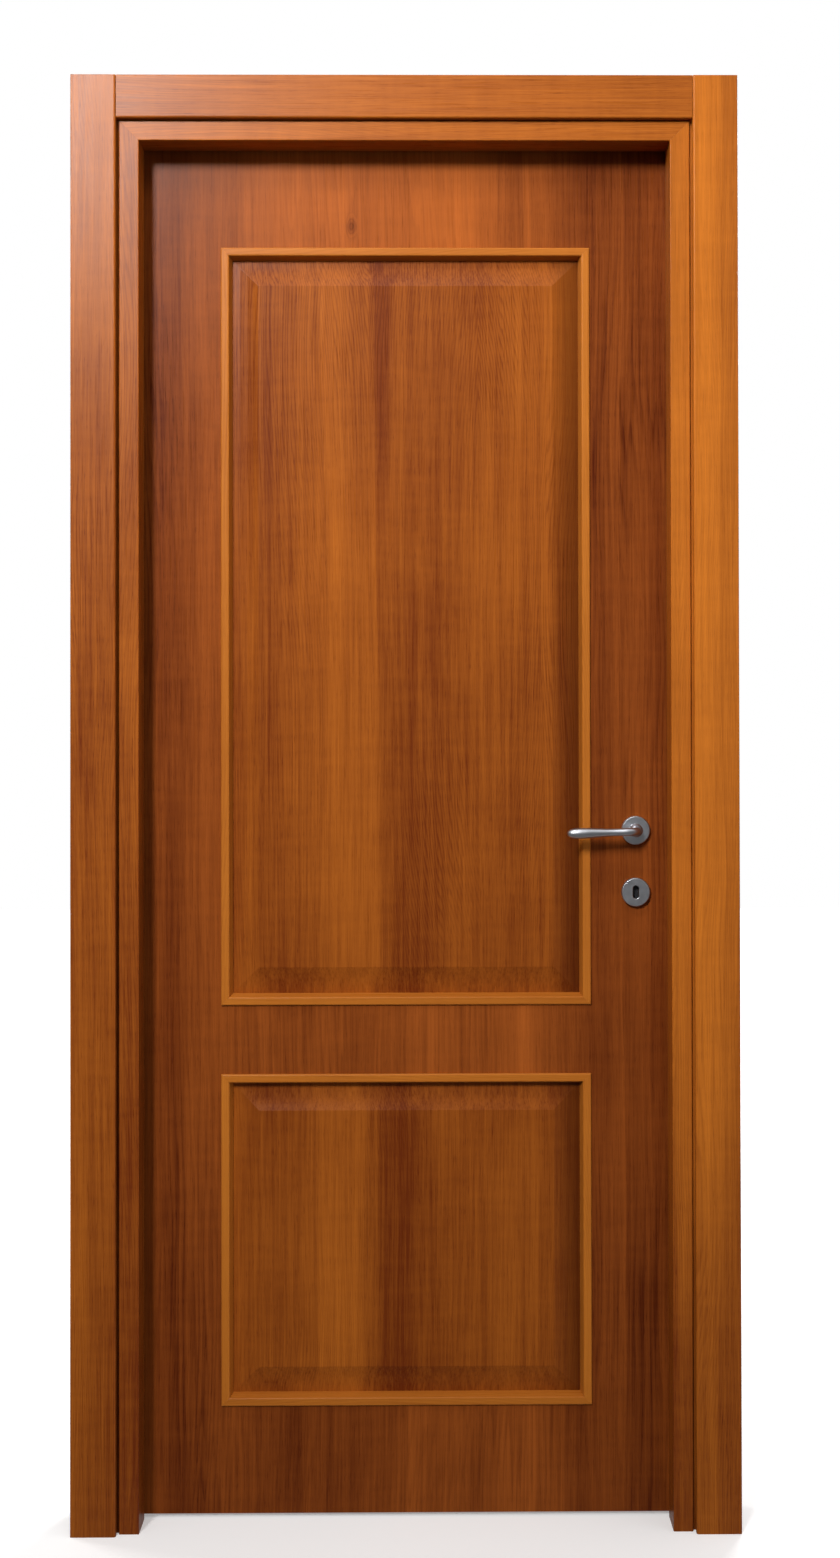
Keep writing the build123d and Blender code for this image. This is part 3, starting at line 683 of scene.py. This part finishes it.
@dataclass(frozen=True)
class MetalFinish:
    """One plated or bare metal.

    Attributes:
        colour: The clean metal.
        roughness, spread: Its roughness, and how far the brushing and clouds vary it.
        worn: How dark the dull patches are beside the clean ones.
        scratch, scratch_depth: Strength and depth of the brush lines.
    """

    colour: Colour
    roughness: float
    spread: float = 0.06
    worn: float = 0.90
    scratch: float = 0.2
    scratch_depth: float = 0.01 * MM

    def material(self, name: str, patterns: Patterns) -> bpy.types.Material:
        """Makes the material.

        Args:
            name: The material's name.
            patterns: The shared node groups.

        Returns:
            The material.
        """
        material, sketch, shader, place = new_material(name)
        values = {
            "Place": place,
            "Clean": rgba(self.colour),
            "Worn": rgba(scaled(self.colour, self.worn)),
            "Roughness": self.roughness,
            "Spread": self.spread,
        }
        metal = sketch.group(patterns.brushed, values)
        sketch.feed(shader.inputs["Base Color"], metal["Color"])
        sketch.feed(shader.inputs["Roughness"], metal["Roughness"])
        sketch.feed(shader.inputs["Normal"], sketch.bump(metal["Height"], self.scratch, self.scratch_depth))
        sketch.feed(shader.inputs["Metallic"], 1.0)
        return material


@dataclass(frozen=True)
class RubberFinish:
    """The seal's soft dark rubber, with a fine matt grain."""

    colour: Colour = (0.045, 0.022, 0.012)
    roughness: float = 0.62
    grain: Triple = (1600.0, 1600.0, 600.0)
    dusty: float = 1.7
    dusty_span: Pair = (0.4, 0.7)
    relief: float = 0.3
    relief_depth: float = 0.04 * MM

    def material(self, name: str) -> bpy.types.Material:
        """Makes the material.

        Args:
            name: The material's name.

        Returns:
            The material.
        """
        material, sketch, shader, place = new_material(name)
        grain = sketch.noise(place, self.grain)
        dusty = rgba(scaled(self.colour, self.dusty))
        shade = sketch.mix(sketch.span(grain, *self.dusty_span), rgba(self.colour), dusty)
        sketch.feed(shader.inputs["Base Color"], shade)
        sketch.feed(shader.inputs["Normal"], sketch.bump(grain, self.relief, self.relief_depth))
        sketch.feed(shader.inputs["Roughness"], self.roughness)
        return material


LEAF_VENEER = WoodFinish(
    light=(0.470, 0.118, 0.0180),
    dark=(0.080, 0.0120, 0.0024),
    lines=0.22,
    line_rate=80.0,
    contrast=0.62,
    gloss=0.06,
    knot=(-0.083, -0.011, 1.985),
    knot_size=0.007,
)
PANEL_VENEER = WoodFinish(
    light=(0.425, 0.116, 0.0128),
    dark=(0.144, 0.0256, 0.0040),
    bands=0.40,
    lines=0.22,
    contrast=1.10,
    gloss=0.07,
)
FRAME_VENEER = WoodFinish(
    light=(0.640, 0.188, 0.0190),
    dark=(0.150, 0.026, 0.0040),
    bands=0.24,
    lines=0.22,
    contrast=0.72,
    gloss=0.12,
)
MOULDING_WOOD = WoodFinish(
    light=(0.580, 0.190, 0.0230),
    dark=(0.330, 0.090, 0.0105),
    bands=0.4,
    contrast=0.7,
    gloss=0.12,
)
CORE_WOOD = WoodFinish(
    light=(0.30, 0.085, 0.018),
    dark=(0.13, 0.030, 0.006),
    bands=0.4,
    lines=0.25,
    roughness=0.55,
)
SATIN_NICKEL = MetalFinish(colour=(0.48, 0.49, 0.52), roughness=0.33)
HINGE_NICKEL = MetalFinish(colour=(0.52, 0.51, 0.51), roughness=0.26)
LOCK_NICKEL = MetalFinish(colour=(0.56, 0.55, 0.54), roughness=0.24)
DARK_STEEL = MetalFinish(colour=(0.045, 0.045, 0.05), roughness=0.55)
ZINC_STEEL = MetalFinish(colour=(0.48, 0.49, 0.51), roughness=0.36)


def select_only(piece: bpy.types.Object) -> None:
    """Deselects everything and makes one object the active selection.

    Args:
        piece: The object.
    """
    bpy.ops.object.select_all(action="DESELECT")
    piece.select_set(True)
    bpy.context.view_layer.objects.active = piece


@dataclass
class Workshop:
    """Turns the plain solids into finished pieces."""

    weld: float = 0.001 * MM
    flat_angle: float = math.radians(0.6)
    crisp_angle: float = math.radians(28)
    smooth_angle: float = math.radians(32)
    arris_segments: int = 2
    face_weight: int = 100

    def eased(self, node: str, arris: float, crisp: float | None = None) -> bpy.types.Object:
        """Makes a piece with softened edges that stands for a node.

        Args:
            node: The node's name.
            arris: Width of the softened edge in metres, or 0 for none.
            crisp: Folds sharper than this are softened, in radians, or None for the
                workshop's own angle.

        Returns:
            The new piece, which rides on the node's body.
        """
        source = frame["nodes"][node]
        piece = bpy.data.objects.new(f"{node}_finished", source.data.copy())
        bpy.context.scene.collection.objects.link(piece)
        select_only(piece)
        bpy.ops.object.mode_set(mode="EDIT")
        bpy.ops.mesh.select_mode(type="EDGE")
        bpy.ops.mesh.select_all(action="SELECT")
        bpy.ops.mesh.customdata_custom_splitnormals_clear()
        bpy.ops.mesh.remove_doubles(threshold=self.weld)
        if arris:
            bpy.ops.mesh.dissolve_limited(angle_limit=self.flat_angle)
            bpy.ops.mesh.select_all(action="DESELECT")
            bpy.ops.mesh.edges_select_sharp(sharpness=crisp or self.crisp_angle)
            bpy.ops.mesh.bevel(
                offset=arris, segments=self.arris_segments, affect="EDGES", clamp_overlap=True
            )
        bpy.ops.object.mode_set(mode="OBJECT")
        bpy.ops.object.shade_smooth_by_angle(angle=self.smooth_angle)
        if arris:
            bpy.ops.object.modifier_add(type="WEIGHTED_NORMAL")
            modifier = piece.modifiers[-1]
            modifier.keep_sharp = True
            modifier.weight = self.face_weight
            bpy.ops.object.modifier_apply(modifier=modifier.name)
        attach(piece, self.body_of(node))
        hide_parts(node)
        return piece

    def body_of(self, node: str) -> str:
        """Returns the name of the body that a node belongs to."""
        bodies = frame["record"]["behaviour"]["bodies"]
        return next(body for body, members in bodies.items() if node in members)

    def dress(self, piece: bpy.types.Object, material: bpy.types.Material, slot: str) -> str:
        """Gives a piece its one material.

        Args:
            piece: The piece, or the node itself where it is shown as it came.
            material: The material.
            slot: Not used.

        Returns:
            The piece's name.
        """
        piece.data.materials.clear()
        piece.data.materials.append(material)
        return piece.name


@dataclass
class DoorFrame:
    """Jambs, seal and architraves."""

    shop: Workshop
    patterns: Patterns
    jamb_arris: float = 0.25 * MM
    board_arris: float = 0.3 * MM
    wall_step: Triple = (2.3, 0.0, 1.0)
    board_step: Triple = (0.9, 0.2, 0.7)

    # Tones of the pieces below: each its own tone with painted light by height, mostly darker towards the
    # foot.
    JAMBS: ClassVar[dict[str, WoodCut]] = {
        "jamb_hinge_side": WoodCut(Grain.UPRIGHT, (0.31, 0.0, 0.0), (-0.24, -0.20, 0.15)),
        "jamb_lock_side": WoodCut(Grain.UPRIGHT, (1.17, 0.3, 0.6), (-0.25, 0.16, 0.0)),
        "jamb_head": WoodCut(Grain.ACROSS, (0.83, 0.1, 2.0), (0.0, 0.0, -0.05)),
    }
    REAR_STRIPS: ClassVar[WoodCut] = WoodCut(Grain.UPRIGHT, (2.9, 0.4, 1.1), (-0.1, 0.0, 0.0))
    BOARDS: ClassVar[dict[str, tuple[Grain, Triple]]] = {
        "left": (Grain.UPRIGHT, (-0.28, -0.30, 0.20)),
        "right": (Grain.UPRIGHT, (-0.24, 0.26, -0.12)),
        "head": (Grain.ACROSS, (0.0, 0.0, -0.06)),
    }

    def build(self) -> list[str]:
        """Makes and dresses the frame's pieces.

        Returns:
            Their names.
        """
        names = []
        for node, cut in self.JAMBS.items():
            piece = self.shop.eased(node, self.jamb_arris)
            material = FRAME_VENEER.material(node, cut, self.patterns)
            names.append(self.shop.dress(piece, material, "jamb_wood"))
        for number, wall in enumerate(Wall):
            for place, (side, (grain, tone)) in enumerate(self.BOARDS.items()):
                node = f"{wall.value}_architrave_{side}"
                offset = log_place((0.0, 0.0, 0.0), (number, self.wall_step), (place, self.board_step))
                piece = self.shop.eased(node, self.board_arris)
                material = FRAME_VENEER.material(node, WoodCut(grain, offset, tone), self.patterns)
                names.append(self.shop.dress(piece, material, "architrave_wood"))
        strips = FRAME_VENEER.material("jamb_rear_strips", self.REAR_STRIPS, self.patterns)
        names.append(self.shop.dress(frame["nodes"]["jamb_rear_strips"], strips, "jamb_wood"))
        rubber = RubberFinish().material("frame_seal")
        names.append(self.shop.dress(frame["nodes"]["frame_seal"], rubber, "seal_rubber"))
        return names


@dataclass
class DoorLeaf:
    """Skins, panels, mouldings and the core behind them."""

    shop: Workshop
    patterns: Patterns
    skin_arris: float = 0.2 * MM
    skin_step: Triple = (1.9, 0.5, 1.3)
    # The skins' tone changes with height as painted light, and their pale band is partly a painted
    # highlight.
    skin_tone: Triple = (-0.235, -0.26, 0.06)
    skin_pale: Triple = (-0.03, 0.33, 0.25)
    panel_arris: float = 0.3 * MM
    panel_fold: float = math.radians(3)
    panel_start: Triple = (4.0, 0.3, 0.0)
    panel_step: Triple = (0.02, 0.0, 0.2)
    moulding_arris: float = 0.2 * MM
    moulding_start: Triple = (6.0, 0.0, 0.0)
    moulding_step: Triple = (0.37, 0.11, 0.53)
    core_start: Triple = (9.0, 0.0, 0.0)

    SKINS: ClassVar[tuple[str, ...]] = ("leaf_front_skin", "leaf_back_skin")
    # Raised fields, round which the bevels get painted shade.
    FIELDS: ClassVar[dict[str, tuple[Triple, Triple]]] = {
        "upper_panel": ((0.0, 0.0, 1.36775), (0.227, 0.1, 0.52625)),
        "lower_panel": ((0.0, 0.0, 0.4245), (0.227, 0.1, 0.1965)),
    }
    MOULDING_SIDES: ClassVar[dict[str, Grain]] = {
        "bottom": Grain.ACROSS,
        "top": Grain.ACROSS,
        "left": Grain.UPRIGHT,
        "right": Grain.UPRIGHT,
    }
    CORE: ClassVar[dict[str, Grain]] = {
        "leaf_hinge_stile": Grain.UPRIGHT,
        "leaf_lock_stile": Grain.UPRIGHT,
        "leaf_top_rail": Grain.ACROSS,
        "leaf_middle_rail": Grain.ACROSS,
        "leaf_bottom_rail": Grain.ACROSS,
    }

    def build(self) -> list[str]:
        """Makes and dresses the leaf's pieces.

        Returns:
            Their names.
        """
        names = []
        for number, node in enumerate(self.SKINS):
            piece = self.shop.eased(node, self.skin_arris)
            offset = log_place((0.0, 0.0, 0.0), (number, self.skin_step))
            cut = WoodCut(Grain.UPRIGHT, offset, self.skin_tone, self.skin_pale)
            material = LEAF_VENEER.material(node, cut, self.patterns)
            names.append(self.shop.dress(piece, material, "leaf_veneer"))
        for number, (node, bevel) in enumerate(self.FIELDS.items()):
            piece = self.shop.eased(node, self.panel_arris, self.panel_fold)
            offset = log_place(self.panel_start, (number, self.panel_step))
            cut = WoodCut(Grain.UPRIGHT, offset, bevel=bevel)
            material = PANEL_VENEER.material(node, cut, self.patterns)
            names.append(self.shop.dress(piece, material, "panel_veneer"))
        for number, (node, grain) in enumerate(self.mouldings().items()):
            piece = self.shop.eased(node, self.moulding_arris)
            cut = WoodCut(grain, log_place(self.moulding_start, (number, self.moulding_step)))
            material = MOULDING_WOOD.material(node, cut, self.patterns)
            names.append(self.shop.dress(piece, material, "moulding_wood"))
        for node, grain in self.CORE.items():
            material = CORE_WOOD.material(node, WoodCut(grain, self.core_start), self.patterns)
            names.append(self.shop.dress(frame["nodes"][node], material, "core_wood"))
        return names

    def mouldings(self) -> dict[str, Grain]:
        """Names the sixteen moulding bars.

        Returns:
            Each bar's grain by its node.
        """
        return {
            f"{level}_{wall.value}_moulding_{side}": grain
            for level in ("upper", "lower")
            for wall in Wall
            for side, grain in self.MOULDING_SIDES.items()
        }


@dataclass
class Ironmongery:
    """Handles, lock, strike plate and hinges."""

    shop: Workshop
    patterns: Patterns
    arris: float = 0.25 * MM
    # Place, size, corner and depths of the dark plates that stand in for the keyholes' shade.
    key_place: Pair = (0.3535, 0.9555)
    shade_plate_size: Triple = (10.4 * MM, 0.8 * MM, 25.4 * MM)
    shade_plate_round: float = 0.48
    shade_plate_segments: int = 8
    spring_foot: Triple = (0.32705, 0.0, 1.0715)
    spring_keep: float = 0.27

    SHADE_PLATE_DEPTHS: ClassVar[dict[Wall, float]] = {Wall.FRONT: -10.0 * MM, Wall.REAR: 28.5 * MM}
    NOT_EASED: ClassVar[tuple[str, ...]] = ("front_lever", "rear_lever", "hinge_pins")
    LOCK: ClassVar[tuple[str, ...]] = ("lock_face_plate", "strike_plate", "latch_bolt", "dead_bolt")
    AS_THEY_CAME: ClassVar[tuple[str, ...]] = (
        "lock_follower", "spindle", "rose_rings", "lock_screws", "strike_screws"
    )

    def build(self) -> list[str]:
        """Makes and dresses the metal pieces.

        Returns:
            Their names.
        """
        names = []
        handles = [f"{wall.value}_{kind}" for wall in Wall for kind in ("lever", "rose", "escutcheon")]
        halves = [
            f"hinge_{level}_{half}"
            for level in ("bottom", "middle", "top")
            for half in ("leaf_half", "frame_half")
        ]
        plated = (
            (SATIN_NICKEL, "satin_nickel", handles),
            (HINGE_NICKEL, "hinge_nickel", (*halves, "hinge_pins")),
            (LOCK_NICKEL, "lock_nickel", self.LOCK),
        )
        for finish, slot, nodes in plated:
            material = finish.material(slot, self.patterns)
            for node in nodes:
                piece = self.shop.eased(node, 0.0 if node in self.NOT_EASED else self.arris)
                names.append(self.shop.dress(piece, material, slot))
        # Dark steel for the lock case, and for the plates that stand in for the keyholes' shade.
        dark = DARK_STEEL.material("dark_steel", self.patterns)
        names.append(self.shop.dress(frame["nodes"]["lock_case"], dark, "plain_steel"))
        for wall in Wall:
            names.append(self.shop.dress(self.key_shade_plate(wall), dark, "plain_steel"))
        steel = ZINC_STEEL.material("plain_steel", self.patterns)
        spring = self.shop.eased("latch_spring", 0.0)
        names.append(self.shop.dress(spring, steel, "plain_steel"))
        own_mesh(spring)
        for node in self.AS_THEY_CAME:
            names.append(self.shop.dress(frame["nodes"][node], steel, "plain_steel"))
        return names

    def key_shade_plate(self, wall: Wall) -> bpy.types.Object:
        """Makes a dark plate behind an escutcheon, which stands in for the shade inside the keyhole.

        Args:
            wall: The face of the wall that the escutcheon is on.

        Returns:
            The plate, which rides with the lock.
        """
        bpy.ops.object.select_all(action="DESELECT")
        place = (self.key_place[0], self.SHADE_PLATE_DEPTHS[wall], self.key_place[1])
        bpy.ops.mesh.primitive_cube_add(size=1.0, location=place, scale=self.shade_plate_size)
        plate = bpy.context.object
        plate.name = f"{wall.value}_key_shade_plate"
        bpy.ops.object.transform_apply(location=True, rotation=True, scale=True)
        bpy.ops.object.mode_set(mode="EDIT")
        mesh = bmesh.from_edit_mesh(plate.data)
        for edge in mesh.edges:
            run = edge.verts[1].co - edge.verts[0].co
            edge.select_set(abs(run.y) > 0.5 * run.length)
        bmesh.update_edit_mesh(plate.data)
        corner = self.shade_plate_round * self.shade_plate_size[0]
        bpy.ops.mesh.bevel(offset=corner, segments=self.shade_plate_segments, affect="EDGES")
        bpy.ops.object.mode_set(mode="OBJECT")
        bpy.ops.object.shade_smooth_by_angle(angle=self.shop.smooth_angle)
        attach(plate, self.shop.body_of("lock_case"))
        return plate


@dataclass(frozen=True)
class Lamp:
    """One soft box, with its size in metres and its power in watts."""

    name: str
    place: Triple
    aim: Triple
    size: Pair
    power: float
    spread: float = math.pi
    colour: Colour = (1.0, 0.99, 0.98)

    def hang(self) -> None:
        """Hangs the lamp in its place and turns it to its aim."""
        lamp = bpy.data.lights.new(self.name, "AREA")
        lamp.shape = "RECTANGLE"
        lamp.size, lamp.size_y = self.size
        lamp.energy = self.power
        lamp.spread = self.spread
        lamp.color = self.colour
        holder = bpy.data.objects.new(self.name, lamp)
        bpy.context.scene.collection.objects.link(holder)
        holder.location = self.place
        toward = Vector(self.aim) - Vector(self.place)
        holder.rotation_euler = toward.to_track_quat("-Z", "Y").to_euler()


@dataclass
class Studio:
    """Floor, lights, background and camera."""

    camera_place: Triple = (0.0322, -2.8195, 1.2207)
    yaw: float = math.radians(0.466)
    pitch: float = math.radians(0.543)
    roll: float = math.radians(-0.099)
    lens: float = 42.06
    sensor: float = 36.0
    shift: Pair = (-0.0138, -0.0483)
    floor_reach: float = 9.0
    floor_cloud: Triple = (3.0, 3.0, 3.0)
    floor_detail: float = 3.0
    floor_low: Colour = (0.80, 0.80, 0.80)
    floor_high: Colour = (0.84, 0.84, 0.84)
    floor_mirrored: Colour = (0.22, 0.22, 0.22)
    floor_roughness: float = 0.9
    floor_gloss: float = 0.1
    glow_reach: Pair = (0.5, 3.5)
    glow: Pair = (0.30, 1.0)
    floor_behind: Pair = (-0.5, 0.5)
    ceiling_rise: Pair = (0.30, 0.78)
    world_behind: Pair = (-0.2, 0.5)
    front_gloss: float = 0.21
    fill_rise: Pair = (-0.3, 0.8)
    fill: Pair = (0.03, 0.36)
    side_rise: Pair = (0.1, 1.0)
    side_fill: float = 0.66

    WHITE: ClassVar[Colour] = (1.0, 1.0, 1.0)
    LAMPS: ClassVar[tuple[Lamp, ...]] = (
        Lamp("key_light", (-2.0, -6.0, 4.6), (-0.35, 0.0, 2.2), (0.9, 1.6), 42.0, math.radians(50)),
        Lamp("top_light", (-0.25, -1.3, 3.35), (-0.1, 0.0, 1.9), (1.2, 0.5), 12.0),
        Lamp("far_light", (1.6, 3.2, 3.0), (0.0, 0.0, 1.2), (1.4, 1.4), 105.0),
        Lamp("side_light", (-3.2, 1.5, 2.4), (-0.4, 0.0, 1.2), (1.4, 1.4), 55.0),
    )

    def build(self) -> None:
        """Sets up the whole studio."""
        self.add_floor()
        self.add_world()
        for lamp in self.LAMPS:
            lamp.hang()
        self.add_camera()
        bpy.context.scene.view_settings.view_transform = "Standard"

    def add_floor(self) -> None:
        """Lays a plain pale floor under the door."""
        bpy.ops.object.select_all(action="DESELECT")
        bpy.ops.mesh.primitive_plane_add(size=2 * self.floor_reach, location=(0, 0, 0))
        floor = bpy.context.object
        floor.name = "floor"
        material, sketch, shader, place = new_material("pale_floor")
        clouds = sketch.noise(place, self.floor_cloud, self.floor_detail)
        shade = sketch.mix(clouds, rgba(self.floor_low), rgba(self.floor_high))
        glow = sketch.span(sketch.vector("LENGTH", place), *self.glow_reach, self.glow, smooth=True)
        behind = sketch.span(sketch.axis(place, "Y"), *self.floor_behind, smooth=True)
        rays = sketch.add("ShaderNodeLightPath").outputs
        mirrored = sketch.math("MULTIPLY", self.mirrored(sketch, rays), behind)
        seen = sketch.math("MAXIMUM", rays["Is Camera Ray"], mirrored)
        # Painted reflection: seen in mirrored rays from in front, the floor turns dark grey, as the shade
        # of an unlit room.
        unlit = sketch.math("MULTIPLY", sketch.math("SUBTRACT", 1.0, behind), rays["Is Glossy Ray"])
        shade = sketch.mix(unlit, shade, rgba(self.floor_mirrored))
        sketch.feed(shader.inputs["Base Color"], shade)
        sketch.feed(shader.inputs["Emission Strength"], sketch.math("MULTIPLY", seen, glow))
        sketch.feed(shader.inputs["Emission Color"], rgba(self.WHITE))
        sketch.feed(shader.inputs["Roughness"], self.floor_roughness)
        sketch.feed(shader.inputs["Specular IOR Level"], self.floor_gloss)
        floor.data.materials.append(material)
        floor.visible_diffuse = False

    def mirrored(self, sketch: NodeSketch, rays: Outputs) -> Socket:
        """Returns 1 for rays that a surface mirrors or lets through."""
        return sketch.math("MAXIMUM", rays["Is Glossy Ray"], rays["Is Transmission Ray"])

    def add_world(self) -> None:
        """Fills the studio with soft light and shows it white behind the door."""
        world = bpy.data.worlds.new("studio")
        bpy.context.scene.world = world
        world.use_nodes = True
        world.node_tree.nodes.clear()
        sketch = NodeSketch(world.node_tree)
        rays = sketch.add("ShaderNodeLightPath").outputs
        toward = sketch.add("ShaderNodeTexCoord").outputs["Generated"]
        height = sketch.axis(toward, "Z")
        ceiling = sketch.span(height, *self.ceiling_rise, smooth=True)
        behind = sketch.span(sketch.axis(toward, "Y"), *self.world_behind, smooth=True)
        bright = sketch.math("MAXIMUM", ceiling, behind)
        gloss = sketch.span(bright, 0.0, 1.0, (self.front_gloss, 1.0))
        side = sketch.span(sketch.axis(toward, "X"), *self.side_rise, (0.0, self.side_fill))
        fill = sketch.math("ADD", sketch.span(height, *self.fill_rise, self.fill), side)
        strength = sketch.mix_value(self.mirrored(sketch, rays), fill, gloss)
        strength = sketch.math("MAXIMUM", strength, rays["Is Camera Ray"])
        back = sketch.add("ShaderNodeBackground", {"Color": rgba(self.WHITE), "Strength": strength})
        sketch.add("ShaderNodeOutputWorld", {0: back.outputs[0]})

    def add_camera(self) -> None:
        """Puts the camera where the picture was taken from."""
        data = bpy.data.cameras.new("camera")
        data.sensor_width = self.sensor
        data.lens = self.lens
        data.shift_x, data.shift_y = self.shift
        camera = bpy.data.objects.new("camera", data)
        bpy.context.scene.collection.objects.link(camera)
        level = math.cos(self.pitch)
        ahead = Vector((math.sin(self.yaw) * level, math.cos(self.yaw) * level, math.sin(self.pitch)))
        right = Vector((math.cos(self.yaw), -math.sin(self.yaw), 0.0))
        above = right.cross(ahead)
        tilted_right = math.cos(self.roll) * right + math.sin(self.roll) * above
        tilted_up = -math.sin(self.roll) * right + math.cos(self.roll) * above
        turn = Matrix((tilted_right, tilted_up, -ahead)).transposed()
        camera.matrix_world = Matrix.Translation(self.camera_place) @ turn.to_4x4()
        bpy.context.scene.camera = camera


def main() -> None:
    """Builds the door's sub-assemblies and the studio round them."""
    logging.basicConfig(level=logging.INFO, format="%(message)s")
    shop = Workshop()
    patterns = Patterns(
        figure=WoodFigure().build(),
        tone=PieceToneAndLight().build(),
        bevel=BevelPaintedShade().build(),
        brushed=BrushedMetal().build(),
    )
    parts = {
        "door frame": DoorFrame(shop, patterns),
        "door leaf": DoorLeaf(shop, patterns),
        "ironmongery": Ironmongery(shop, patterns),
    }
    for label, part in parts.items():
        for name in part.build():
            LOG.info("%s: %s", label, name)
    Studio().build()


if __name__ == "__main__":
    main()
